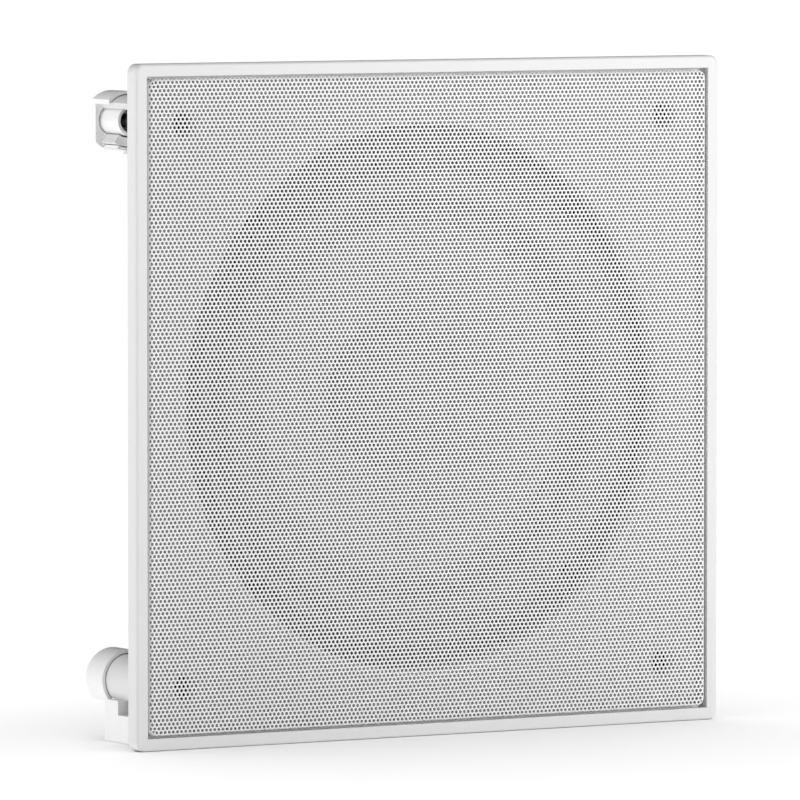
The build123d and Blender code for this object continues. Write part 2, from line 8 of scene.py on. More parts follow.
import bmesh
import bpy
import numpy as np
from bpy.props import FloatProperty, FloatVectorProperty, IntProperty, PointerProperty
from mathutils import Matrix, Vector

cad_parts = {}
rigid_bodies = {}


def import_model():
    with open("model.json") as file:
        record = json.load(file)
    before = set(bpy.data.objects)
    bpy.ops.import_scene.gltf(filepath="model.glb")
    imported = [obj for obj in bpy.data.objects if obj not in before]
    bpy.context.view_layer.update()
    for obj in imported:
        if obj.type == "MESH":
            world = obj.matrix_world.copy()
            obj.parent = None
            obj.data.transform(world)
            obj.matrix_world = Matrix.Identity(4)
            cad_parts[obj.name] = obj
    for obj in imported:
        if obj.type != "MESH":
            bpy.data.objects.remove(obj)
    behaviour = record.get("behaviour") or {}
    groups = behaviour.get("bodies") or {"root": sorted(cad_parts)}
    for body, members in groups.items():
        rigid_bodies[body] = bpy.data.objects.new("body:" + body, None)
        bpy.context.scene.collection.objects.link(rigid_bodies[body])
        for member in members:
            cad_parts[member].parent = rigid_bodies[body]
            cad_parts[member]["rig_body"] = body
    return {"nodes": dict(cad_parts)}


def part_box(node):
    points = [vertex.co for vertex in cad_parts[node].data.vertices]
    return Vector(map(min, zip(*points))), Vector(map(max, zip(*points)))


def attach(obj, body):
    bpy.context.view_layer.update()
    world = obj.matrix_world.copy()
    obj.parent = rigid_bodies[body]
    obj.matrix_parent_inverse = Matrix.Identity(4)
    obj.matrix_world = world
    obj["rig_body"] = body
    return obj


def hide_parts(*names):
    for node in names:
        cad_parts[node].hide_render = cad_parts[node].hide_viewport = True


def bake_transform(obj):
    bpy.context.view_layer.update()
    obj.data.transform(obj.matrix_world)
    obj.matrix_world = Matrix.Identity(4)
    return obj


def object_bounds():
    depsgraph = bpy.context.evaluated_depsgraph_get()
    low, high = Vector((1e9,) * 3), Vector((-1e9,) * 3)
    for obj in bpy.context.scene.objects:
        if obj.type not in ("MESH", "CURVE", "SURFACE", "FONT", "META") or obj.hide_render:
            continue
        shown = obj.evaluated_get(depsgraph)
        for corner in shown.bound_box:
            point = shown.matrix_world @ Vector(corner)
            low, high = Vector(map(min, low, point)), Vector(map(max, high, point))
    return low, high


bl_info = {
    "name": "In-wall loudspeaker",
    "version": (1, 0, 0),
    "blender": (4, 5, 0),
    "location": "View3D > Sidebar > Loudspeaker",
    "description": "Dresses the packed in-wall loudspeaker and sets it on a pale studio floor",
    "category": "Object",
}

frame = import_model()
cad_low, cad_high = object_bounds()
grille_low, grille_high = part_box("grille")
grille_half = (grille_high.x - grille_low.x) / 2
grille_middle = (grille_low.z + grille_high.z) / 2

MM = 0.001
HEXAGON = 6
ROW_RISE = math.sqrt(3) / 2
CORNERS = ("top_left", "bottom_left", "bottom_right", "top_right")
FACING_FRONT = math.pi / 2
FACING_BACK = -math.pi / 2
SMOOTH_ANGLE = math.radians(35)

# Points nearer than this are one: in the sheet's cells, in its folded edge and along a ring's seams
CELL_WELD = 0.01 * MM
SLIVER = 0.002 * MM
SEAM_WELD = 0.001 * MM

# Divisions of a screw's head and shank, and the turn in radians from one screw to the next
HEAD_SIDES = 48
HEAD_LEVELS = 3
HEAD_RINGS = 6
SHANK_SIDES = 24
STEPS_PER_TURN = 8
SCREW_TURN = 2.4

# Place and width of each square light, in metres
LIGHTS = {
    "left": ((-1.56, 0.05, 0.33), 1.0),
    "top": ((0.0, -0.15, 1.5), 0.8),
    "right": ((0.7, -0.9, 0.28), 0.5),
    "back": ((-0.9, 1.3, 0.5), 1.2),
}


def length(name, description, default):
    """A size in metres that shows as a length in the sidebar."""
    return FloatProperty(name=name, description=description, default=default, unit="LENGTH", precision=5)


def colour(name, description, default):
    """A linear colour with its swatch in the sidebar."""
    return FloatVectorProperty(
        name=name, description=description, default=default, size=3, min=0, max=1, subtype="COLOR"
    )


def power(name, description, default):
    """A lamp's power in watts."""
    return FloatProperty(name=name, description=description, default=default, min=0, unit="POWER")


class GrilleSizes(bpy.types.PropertyGroup):
    """Sizes of the perforated sheet and its folded edge."""

    pitch: length("Pitch", "Distance between neighbouring holes", 1.5 * MM)
    hole: length("Hole", "Hole width between corners", 1.20 * MM)
    sheet: length("Sheet", "Thickness of the painted sheet", 0.4 * MM)
    bend: length("Bend", "Outer radius of the folded edge", 1.0 * MM)
    corner: length("Corner", "Radius of the grille's corners as it is faced", 2.5 * MM)
    rows: IntProperty(name="Rows", description="Rows of holes on each side of the middle row", default=80)
    columns: IntProperty(name="Columns", description="Holes on each side of a row's middle one", default=69)
    bands: IntProperty(name="Bands", description="Pieces that the sheet is made in", default=6)


class ClampScrewSizes(bpy.types.PropertyGroup):
    """Sizes of the long screws that draw the clamps to the wall."""

    head: length("Head", "Radius of the pan head", 3.8 * MM)
    height: length("Height", "Height of the head", 2.9 * MM)
    crest: length("Crest", "Outer radius of the thread", 2.25 * MM)
    thread: length("Thread", "Pitch of the thread", 1.6 * MM)


class FixingScrewSizes(bpy.types.PropertyGroup):
    """Sizes of the short screws that hold the driver and the terminal."""

    head: length("Head", "Radius of the pan head", 2.7 * MM)
    height: length("Height", "Height of the head", 1.8 * MM)
    crest: length("Crest", "Outer radius of the thread", 1.5 * MM)
    thread: length("Thread", "Pitch of the thread", 1.1 * MM)


class SuspensionSizes(bpy.types.PropertyGroup):
    """Sectors of the driver's surround and spider, and the radii where each leaves the basket and meets the
    cone.
    """

    sectors: IntProperty(name="Sectors", description="Pieces that each ring is made in", default=16, min=8)
    roll_start: length("Roll start", "Radius where the surround leaves the basket", 75.0 * MM)
    roll_end: length("Roll end", "Radius where the surround meets the cone", 63.5 * MM)
    wave_start: length("Wave start", "Radius where the spider leaves the basket", 36.5 * MM)
    wave_end: length("Wave end", "Radius where the spider meets the coil former", 17.5 * MM)


class FinishColours(bpy.types.PropertyGroup):
    """Colours of the finishes."""

    moulding: colour("Moulding", "White moulded frame", (0.77, 0.77, 0.77))
    # Painted shade: a grey for the face behind the grille that stands in for the shade there, not the
    # moulding's own colour
    baffle: colour("Baffle", "Face behind the grille", (0.40, 0.40, 0.40))
    grille: colour("Grille", "White powder coat", (0.90, 0.90, 0.90))
    clamp: colour("Clamp", "White moulded nylon", (0.92, 0.92, 0.92))
    screw: colour("Screw", "Black oxide on steel", (0.05, 0.05, 0.052))
    basket: colour("Basket", "Dark powder coat", (0.09, 0.09, 0.093))
    foam: colour("Foam", "Gasket", (0.07, 0.07, 0.07))
    rubber: colour("Rubber", "Surround", (0.25, 0.25, 0.25))
    pulp: colour("Pulp", "Cone paper", (0.36, 0.36, 0.36))
    cap_cloth: colour("Cap cloth", "Doped dust cap", (0.30, 0.30, 0.30))
    spider_cloth: colour("Spider cloth", "Resin-dipped cotton", (0.42, 0.27, 0.09))
    nickel: colour("Nickel", "Plated magnets", (0.66, 0.63, 0.58))
    foil: colour("Foil", "Aluminium coil former", (0.80, 0.81, 0.82))
    copper: colour("Copper", "Enamelled coil wire", (0.62, 0.24, 0.09))
    zinc: colour("Zinc", "Plated motor steel", (0.66, 0.67, 0.66))
    ferrite: colour("Ferrite", "Magnet ceramic", (0.045, 0.045, 0.048))
    terminal: colour("Terminal", "Black moulded block", (0.022, 0.022, 0.022))
    red_lever: colour("Red lever", "Positive terminal", (0.52, 0.012, 0.012))
    black_lever: colour("Black lever", "Negative terminal", (0.016, 0.016, 0.016))
    tag_board: colour("Tag board", "Pressed phenolic board", (0.17, 0.07, 0.025))
    tin: colour("Tin", "Tinned lugs", (0.70, 0.70, 0.68))


class StageSettings(bpy.types.PropertyGroup):
    """Camera, floor and lights."""

    azimuth: FloatProperty(name="Azimuth", description="Camera's turn, in degrees", default=-30.667)
    elevation: FloatProperty(name="Elevation", description="Camera's rise, in degrees", default=3.565)
    distance: length("Distance", "From the camera to the point it looks at", 3.01425)
    aim: FloatVectorProperty(
        name="Aim",
        description="Point the camera looks at",
        default=(-0.01208, -0.0055, -0.00015),
        subtype="XYZ",
    )
    lens: FloatProperty(name="Lens", description="Focal length in millimetres", default=424.28)
    sensor: FloatProperty(name="Sensor", description="Width of the sensor in millimetres", default=36.0)
    reach: length("Reach", "From the object to the floor's edges", 30.0)
    tone: colour("Tone", "Pale floor", (0.93, 0.93, 0.93))
    sky: FloatProperty(name="Sky", description="Light of the even white surroundings", default=0.03)
    floor: FloatProperty(name="Floor", description="Light that falls on the floor alone", default=3.42)
    spread: FloatProperty(name="Spread", description="Width of the floor's light in degrees", default=100.0)
    tilt: FloatProperty(name="Tilt", description="Lean of the floor's light in degrees", default=-4.0)
    left: power("Left", "Broad light on the left", 12.5)
    top: power("Top", "Broad light overhead", 5.0)
    right: power("Right", "Light at the right of the front", 8.6)
    back: power("Back", "Broad light behind", 3.0)


class Socket:
    """An output of a node that takes part in sums. Each sum adds a Math node to the tree."""

    def __init__(self, tree, output):
        self.tree = tree
        self.output = output

    def calc(self, operation, *values):
        return self.tree.node("ShaderNodeMath", {"operation": operation}, dict(enumerate(values)))

    def __getitem__(self, name):
        return Socket(self.tree, self.output.node.outputs[name])

    def __add__(self, other):
        return self.calc("ADD", self, other)

    def __sub__(self, other):
        return self.calc("SUBTRACT", self, other)

    def __rsub__(self, other):
        return self.calc("SUBTRACT", other, self)

    def __mul__(self, other):
        return self.calc("MULTIPLY", self, other)

    def __truediv__(self, other):
        return self.calc("DIVIDE", self, other)

    def __rtruediv__(self, other):
        return self.calc("DIVIDE", other, self)

    def __mod__(self, other):
        return self.calc("FLOORED_MODULO", self, other)

    def __floordiv__(self, other):
        return self.calc("FLOOR", self / other)

    def __le__(self, other):
        return 1 - self.calc("GREATER_THAN", self, other)

    def __abs__(self):
        return self.calc("ABSOLUTE", self)

    def __neg__(self):
        return self * -1

    __radd__ = __add__
    __rmul__ = __mul__


class Tree:
    """A node tree that is written one node at a time."""

    def __init__(self, data):
        self.data = data

    def node(self, kind, settings=None, inputs=None, output=0):
        """Adds a node, applies its settings, fills its inputs and gives one of its outputs."""
        node = self.data.nodes.new(kind)
        for name, value in (settings or {}).items():
            setattr(node, name, value)
        for key, value in (inputs or {}).items():
            for given in value if isinstance(value, list) else [value]:
                if isinstance(given, Socket):
                    self.data.links.new(given.output, node.inputs[key])
                else:
                    node.inputs[key].default_value = given
        return Socket(self, node.outputs[output])

    def vector(self, **axes):
        return self.node("ShaderNodeCombineXYZ", inputs=axes)

    def axes(self, vector):
        apart = self.node("ShaderNodeSeparateXYZ", inputs={0: vector})
        return apart["X"], apart["Y"], apart["Z"]


class ShaderTree(Tree):
    """A material's nodes, with the shader and coordinates that every finish here starts from."""

    def __init__(self, name):
        self.material = bpy.data.materials.new(name)
        self.material.use_nodes = True
        super().__init__(self.material.node_tree)
        self.shader = self.data.nodes["Principled BSDF"]
        self.place = self.node("ShaderNodeTexCoord", output="Object")

    def set(self, **values):
        """Fills the shader's sockets, named with underscores for spaces."""
        for name, value in values.items():
            socket = self.shader.inputs[name.replace("_", " ")]
            if isinstance(value, Socket):
                self.data.links.new(value.output, socket)
            else:
                socket.default_value = value

    def noise(self, scale, detail=3.0, roughness=0.55, place=None):
        inputs = {"Vector": place or self.place, "Scale": scale, "Detail": detail, "Roughness": roughness}
        return self.node("ShaderNodeTexNoise", inputs=inputs)

    def cells(self, scale):
        """Distance to the nearest of many scattered points."""
        return self.node("ShaderNodeTexVoronoi", inputs={"Vector": self.place, "Scale": scale})

    def blend(self, factor, first, second):
        """A colour between two, each given as three numbers."""
        inputs = {0: factor, 6: (*first, 1), 7: (*second, 1)}
        return self.node("ShaderNodeMix", {"data_type": "RGBA"}, inputs, output=2)

    def vary(self, factor, tone, dark, light):
        """A tone that runs from a darker to a lighter shade of itself."""
        return self.blend(factor, shade(tone, dark), shade(tone, light))

    def bump(self, height, distance, strength):
        inputs = {"Height": height, "Distance": distance, "Strength": strength}
        self.set(Normal=self.node("ShaderNodeBump", inputs=inputs))


def shade(tone, factor):
    """A colour made darker or lighter by a factor."""
    return tuple(min(channel * factor, 1.0) for channel in tone)


def moulded_plastic(name, tone, roughness, shade_behind_grille=None):
    """Moulded plastic with a spark-eroded grain. The face behind the grille can take a darker tone: painted
    shade that stands in for the shade in the cavity behind the grille.
    """
    tree = ShaderTree(name)
    grains = tree.noise(scale=2500.0, detail=2.0)
    if shade_behind_grille:
        # Painted shade: the face behind the grille gets a darker grey in place of the shade that falls there
        across, depth, up = tree.axes(tree.place)
        margin = 0.5 * MM
        near = depth <= grille_high.y + margin
        behind = (abs(across) <= grille_half) * (abs(up) <= grille_half) * near
        base = tree.blend(behind, tone, shade_behind_grille)
    else:
        cloud = tree.noise(scale=14.0, detail=2.0)
        base = tree.vary(cloud, tone, dark=0.985, light=1.015)
    tree.set(Base_Color=base, Roughness=roughness - 0.05 + 0.1 * grains)
    tree.bump(grains, distance=0.02 * MM, strength=0.35)
    return tree.material


def powder_coat(name, tone, roughness):
    """Baked powder paint with a fine orange-peel relief."""
    tree = ShaderTree(name)
    peel = tree.noise(scale=1800.0, detail=2.0)
    cloud = tree.noise(scale=20.0, detail=2.0)
    tree.set(
        Base_Color=tree.vary(cloud, tone, dark=0.985, light=1.015),
        Roughness=roughness - 0.06 + 0.12 * peel,
    )
    tree.bump(peel, distance=0.03 * MM, strength=0.3)
    return tree.material


def oxide_steel(name, tone):
    """Blackened steel that shines through in fine specks."""
    tree = ShaderTree(name)
    specks = tree.noise(scale=1400.0, detail=4.0)
    tree.set(
        Base_Color=tree.vary(specks, tone, dark=0.7, light=2.0),
        Metallic=0.6,
        Roughness=0.3 + 0.2 * specks,
    )
    return tree.material


def foam(name, tone):
    """Closed-cell foam."""
    tree = ShaderTree(name)
    bubbles = tree.cells(scale=1600.0)
    tree.set(Base_Color=tree.vary(bubbles, tone, dark=0.6, light=1.6), Roughness=0.9)
    tree.bump(bubbles, distance=0.15 * MM, strength=0.6)
    return tree.material


def rubber(name, tone):
    """Matt rubber with the bloom that settles on it."""
    tree = ShaderTree(name)
    bloom = tree.noise(scale=45.0, detail=4.0)
    grains = tree.noise(scale=3500.0, detail=2.0)
    tree.set(
        Base_Color=tree.vary(bloom, tone, dark=0.85, light=1.25),
        Roughness=0.5 + 0.15 * bloom,
    )
    tree.bump(grains, distance=0.02 * MM, strength=0.4)
    return tree.material


def pulp(name, tone):
    """Felted paper pulp: short fibres, tangled and uneven in tone."""
    tree = ShaderTree(name)
    fibres = tree.noise(scale=900.0, detail=6.0, roughness=0.7)
    clumps = tree.noise(scale=120.0, detail=3.0)
    tree.set(
        Base_Color=tree.vary(0.5 * fibres + 0.5 * clumps, tone, dark=0.6, light=1.4),
        Roughness=0.9 - 0.12 * fibres,
    )
    tree.bump(fibres, distance=0.12 * MM, strength=0.6)
    return tree.material


def woven_cloth(name, tone, thread, roughness):
    """A plain weave stiffened with resin. Its threads run over and under each other, seen from the front,
    with a painted highlight where they rise and painted shade where they dip under.
    """
    tree = ShaderTree(name)
    across, _, up = tree.axes(tree.place)
    turn = math.pi / thread
    warp = across.calc("SINE", across * turn)
    weft = up.calc("SINE", up * turn)
    # Painted light and shade: the threads' rise lightens the colour where they cross over and darkens it
    # where they dip under, besides raising the bump
    rise = 0.5 + 0.5 * warp * weft
    resin = tree.noise(scale=60.0, detail=3.0)
    tree.set(
        Base_Color=tree.vary(0.7 * rise + 0.3 * resin, tone, dark=0.55, light=1.3),
        Roughness=roughness - 0.2 * resin,
    )
    tree.bump(rise, distance=0.25 * thread, strength=0.8)
    return tree.material


def turned_plate(name, tone):
    """Plated steel with the rings that turning leaves and a cloudy passivation."""
    tree = ShaderTree(name)
    across, _, up = tree.axes(tree.place)
    radius = across.calc("SQRT", across * across + up * up)
    rings = tree.noise(scale=2600.0, detail=3.0, place=tree.vector(X=radius))
    cloud = tree.noise(scale=38.0, detail=4.0)
    tree.set(
        Base_Color=tree.vary(cloud, tone, dark=0.86, light=1.12),
        Metallic=1.0,
        Roughness=0.26 + 0.14 * rings + 0.1 * cloud,
    )
    tree.bump(rings, distance=0.02 * MM, strength=0.35)
    return tree.material


def ferrite_ceramic(name, tone):
    """Ground ferrite: dull, dark and finely pitted."""
    tree = ShaderTree(name)
    pits = tree.noise(scale=2200.0, detail=5.0, roughness=0.7)
    cloud = tree.noise(scale=50.0, detail=3.0)
    tree.set(
        Base_Color=tree.vary(0.6 * cloud + 0.4 * pits, tone, dark=0.7, light=1.4),
        Roughness=0.5 + 0.25 * pits,
    )
    tree.bump(pits, distance=0.04 * MM, strength=0.5)
    return tree.material


def bare_metal(name, tone, roughness, marks):
    """Bright metal with a soft mottle of handling marks."""
    tree = ShaderTree(name)
    mottle = tree.noise(scale=marks, detail=4.0)
    tree.set(
        Base_Color=tree.vary(mottle, tone, dark=0.88, light=1.1),
        Metallic=1.0,
        Roughness=roughness + 0.15 * mottle,
    )
    return tree.material


def wound_wire(name, tone, wire):
    """Turns of enamelled wire, side by side along the coil, with painted shade in the grooves between turns.
    """
    tree = ShaderTree(name)
    _, along, _ = tree.axes(tree.place)
    turns_and_groove_shade = 0.5 + 0.5 * along.calc("SINE", along * (2 * math.pi / wire))
    # Painted shade: the colour darkens in the grooves between turns, following the same wave that shapes the
    # bump
    tree.set(
        Base_Color=tree.vary(turns_and_groove_shade, tone, dark=0.45, light=1.1),
        Metallic=0.9,
        Roughness=0.45 - 0.15 * turns_and_groove_shade,
    )
    tree.bump(turns_and_groove_shade, distance=wire / 2, strength=0.8)
    return tree.material


def pressed_board(name, tone):
    """Phenolic board with its paper layers showing as faint streaks."""
    tree = ShaderTree(name)
    _, through, _ = tree.axes(tree.place)
    layers = tree.noise(scale=5000.0, detail=2.0, place=tree.vector(X=through))
    flecks = tree.noise(scale=700.0, detail=4.0)
    tree.set(
        Base_Color=tree.vary(0.4 * layers + 0.6 * flecks, tone, dark=0.7, light=1.4),
        Roughness=0.4 + 0.2 * flecks,
    )
    return tree.material


def add_object(name, data):
    """Puts a mesh, a light or a camera in the scene."""
    new = bpy.data.objects.new(name, data)
    bpy.context.scene.collection.objects.link(new)
    return new


def add_piece(name, mesh, body, slot, *nodes):
    """Adds a finished mesh as a piece that rides on a body and stands for CAD nodes."""
    piece = add_object(name, mesh)
    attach(piece, body)
    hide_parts(*nodes)


def paint(material, *nodes):
    """Gives CAD nodes a finish."""
    for node in nodes:
        slots = frame["nodes"][node].data.materials
        slots.clear()
        slots.append(material)


def smooth(mesh):
    """Shades a mesh smoothly up to its sharp edges."""
    mesh.shade_smooth()
    mesh.set_sharp_from_angle(angle=SMOOTH_ANGLE)


def grow(name, tree, values):
    """Runs a geometry tree on an empty mesh and gives the result as a plain mesh."""
    holder = add_object(name, bpy.data.meshes.new(name))
    modifier = holder.modifiers.new(name, "NODES")
    modifier.node_group = tree.data
    for item in tree.data.interface.items_tree:
        if item.in_out == "INPUT" and item.name in values:
            modifier[item.identifier] = values[item.name]
    evaluated = holder.evaluated_get(bpy.context.evaluated_depsgraph_get())
    mesh = bpy.data.meshes.new_from_object(evaluated)
    mesh.name = name
    holder.modifiers.clear()
    bpy.data.objects.remove(holder)
    return mesh


class GeometryTree(Tree):
    """A geometry node tree with named inputs and one geometry output."""

    def __init__(self, name, **inputs):
        super().__init__(bpy.data.node_groups.new(name, "GeometryNodeTree"))
        for label, kind in inputs.items():
            label = label.replace("_", " ")
            self.data.interface.new_socket(label, in_out="INPUT", socket_type="NodeSocket" + kind)
        self.data.interface.new_socket("Geometry", in_out="OUTPUT", socket_type="NodeSocketGeometry")
        self.given = self.node("NodeGroupInput")
        self.position = self.node("GeometryNodeInputPosition")

    def move(self, geometry, place):
        return self.node("GeometryNodeSetPosition", inputs={"Geometry": geometry, "Position": place})

    def shift(self, geometry, **axes):
        inputs = {"Geometry": geometry, "Translation": self.vector(**axes)}
        return self.node("GeometryNodeTransform", inputs=inputs)

    def join(self, *parts):
        return self.node("GeometryNodeJoinGeometry", inputs={0: list(parts)})

    def combine(self, operation, first, second):
        return self.node("ShaderNodeVectorMath", {"operation": operation}, {0: first, 1: second})

    def finish(self, geometry):
        """Ends the tree with real geometry that carries the given material."""
        real = self.node("GeometryNodeRealizeInstances", inputs={0: geometry})
        inputs = {"Geometry": real, "Material": self.given["Material"]}
        coated = self.node("GeometryNodeSetMaterial", inputs=inputs)
        end = self.data.nodes.new("NodeGroupOutput")
        self.data.links.new(coated.output, end.inputs[0])


def perforated_sheet():
    """The tree of a flat perforated sheet: hexagonal cells in staggered rows, plain cells round the field."""
    tree = GeometryTree(
        "perforated_sheet",
        Pitch="Float",
        Hole="Float",
        Sheet="Float",
        First_Row="Int",
        Row_Count="Int",
        Column_Reach="Int",
        Hole_Rows="Int",
        Hole_Columns="Int",
        Edge="Float",
        Material="Material",
    )
    given = tree.given
    pitch, hole, sheet = given["Pitch"], given["Hole"], given["Sheet"]

    # One cell, faced in +Z: a ring, the wall of its hole and the ring at the back
    cell_radius = pitch / math.sqrt(3)
    outline = tree.node(
        "GeometryNodeMeshCircle", {"fill_type": "NGON"}, {"Vertices": HEXAGON, "Radius": cell_radius}
    )
    turned = {"Geometry": outline, "Rotation": (0, 0, math.pi / HEXAGON)}
    cell = tree.node("GeometryNodeTransform", inputs=turned)

    def push(mesh, drop, selection=None):
        """Extrudes the marked face, or the only one, and marks the new face."""
        inputs = {"Mesh": mesh, "Offset Scale": drop}
        if selection:
            inputs["Selection"] = selection
        pushed = tree.node("GeometryNodeExtrudeMesh", {"mode": "FACES"}, inputs)
        return pushed, pushed["Top"]

    def swell(mesh, selection, scale):
        """Scales the marked face about its middle."""
        inputs = {"Geometry": mesh, "Selection": selection, "Scale": scale}
        return tree.node("GeometryNodeScaleElements", inputs=inputs)

    share = hole / 2 / cell_radius
    mesh, inner = push(cell, 0.0)
    mesh = swell(mesh, inner, share)
    mesh, inner = push(mesh, -sheet, inner)
    mesh, inner = push(mesh, 0.0, inner)
    mesh = swell(mesh, inner, 1 / share)
    inputs = {"Geometry": mesh, "Selection": inner}
    drilled = tree.node("GeometryNodeDeleteGeometry", {"domain": "FACE"}, inputs)

    # A plain cell: the same outline at the front and at the back
    behind = tree.shift(cell, Z=-sheet)
    plain = tree.join(cell, tree.node("GeometryNodeFlipFaces", inputs={"Mesh": behind}))

    # Rows of points, each second row set over by half a pitch
    reach = given["Column Reach"]
    per_row = reach * 2 + 1
    index = tree.node("GeometryNodeInputIndex")
    row = index // per_row + given["First Row"]
    column = (index % per_row) - reach
    spot = tree.vector(X=(column + (row % 2) * 0.5) * pitch, Y=row * pitch * ROW_RISE)
    points = tree.node("GeometryNodePoints", inputs={"Count": per_row * given["Row Count"], "Position": spot})

    # Holes inside the field's limits, plain cells beyond them
    across, up, _ = tree.axes(tree.position)
    past_centre = 0.25
    in_rows = abs(up) <= (given["Hole Rows"] + past_centre) * pitch * ROW_RISE
    in_columns = abs(across) <= (given["Hole Columns"] + past_centre) * pitch
    inside = in_rows * in_columns
    cells = []
    for selection, instance in ((inside, drilled), (1 - inside, plain)):
        inputs = {"Points": points, "Selection": selection, "Instance": instance}
        cells.append(tree.node("GeometryNodeInstanceOnPoints", inputs=inputs))
    real = tree.node("GeometryNodeRealizeInstances", inputs={0: tree.join(*cells)})

    # The sheet is sheared off square at its edge, and neighbouring cells are welded
    edge = given["Edge"]
    far = 1.0
    high = tree.vector(X=edge, Y=edge, Z=far)
    low = tree.vector(X=-edge, Y=-edge, Z=-far)
    sheared = tree.combine("MAXIMUM", tree.combine("MINIMUM", tree.position, high), low)
    cut = tree.move(real, sheared)
    welded = tree.node("GeometryNodeMergeByDistance", inputs={"Geometry": cut, "Distance": CELL_WELD})
    tree.finish(welded)
    return tree


def fold_sheet(mesh, sizes):
    """Bends a flat sheet's edge back over its rounded corners and stands it upright in the grille's place."""
    flat = np.empty(len(mesh.vertices) * 3)
    mesh.vertices.foreach_get("co", flat)
    flat = flat.reshape(-1, 3)

    # How far each point lies past the square core between the corners' centres, and which way
    core = grille_half - sizes.corner
    beyond = np.maximum(np.abs(flat[:, :2]) - core, 0)
    run = beyond.max(axis=1)
    above_zero = 1e-12
    away = beyond / np.maximum(np.hypot(*beyond.T), above_zero)[:, None]

    # Past its level part the sheet turns back round the bend
    level = sizes.corner - sizes.bend
    turn = np.clip(run - level, 0, None) / sizes.bend
    inner = sizes.bend + flat[:, 2]
    out = np.where(turn > 0, level + inner * np.sin(turn), run)
    depth = sizes.bend - inner * np.cos(turn)
    face = np.sign(flat[:, :2]) * (np.minimum(np.abs(flat[:, :2]), core) + away * out[:, None])
    folded = np.column_stack([face[:, 0], grille_low.y + depth, grille_middle + face[:, 1]])
    mesh.vertices.foreach_set("co", folded.ravel())

    # The cells that the edge cuts through leave slivers
    shape = bmesh.new()
    shape.from_mesh(mesh)
    bmesh.ops.dissolve_degenerate(shape, dist=SLIVER, edges=shape.edges)
    shape.to_mesh(mesh)
    shape.free()
    mesh.update()


def rounded_square(half, radius, steps=8):
    """Points round a square with rounded corners, anticlockwise as it is faced."""
    points = []
    for quarter in range(4):
        start = quarter * math.pi / 2
        turn = start + math.pi / 4
        signs = (math.copysign(1, math.cos(turn)), math.copysign(1, math.sin(turn)))
        centre = Vector(signs) * (half - radius)
        for step in range(steps + 1):
            angle = start + step / steps * math.pi / 2
            points.append((centre.x + radius * math.cos(angle), centre.y + radius * math.sin(angle)))
    return points


def skirt_mesh(sizes):
    """The plain folded strip between the bend and the baffle."""
    front = grille_low.y + sizes.bend
    rings = [(0, front), (0, grille_high.y), (sizes.sheet, grille_high.y), (sizes.sheet, front)]
    vertices = []
    for inset, depth in rings:
        for x, z in rounded_square(grille_half - inset, sizes.corner - inset):
            vertices.append((x, depth, grille_middle + z))
    count = len(vertices) // len(rings)
    faces = []
    for ring in range(len(rings)):
        for i in range(count):
            along = (i + 1) % count
            after = (ring + 1) % len(rings)
            faces.append((ring * count + i, ring * count + along, after * count + along, after * count + i))
    mesh = bpy.data.meshes.new("grille_skirt")
    mesh.from_pydata(vertices, [], faces)
    mesh.update()
    return mesh


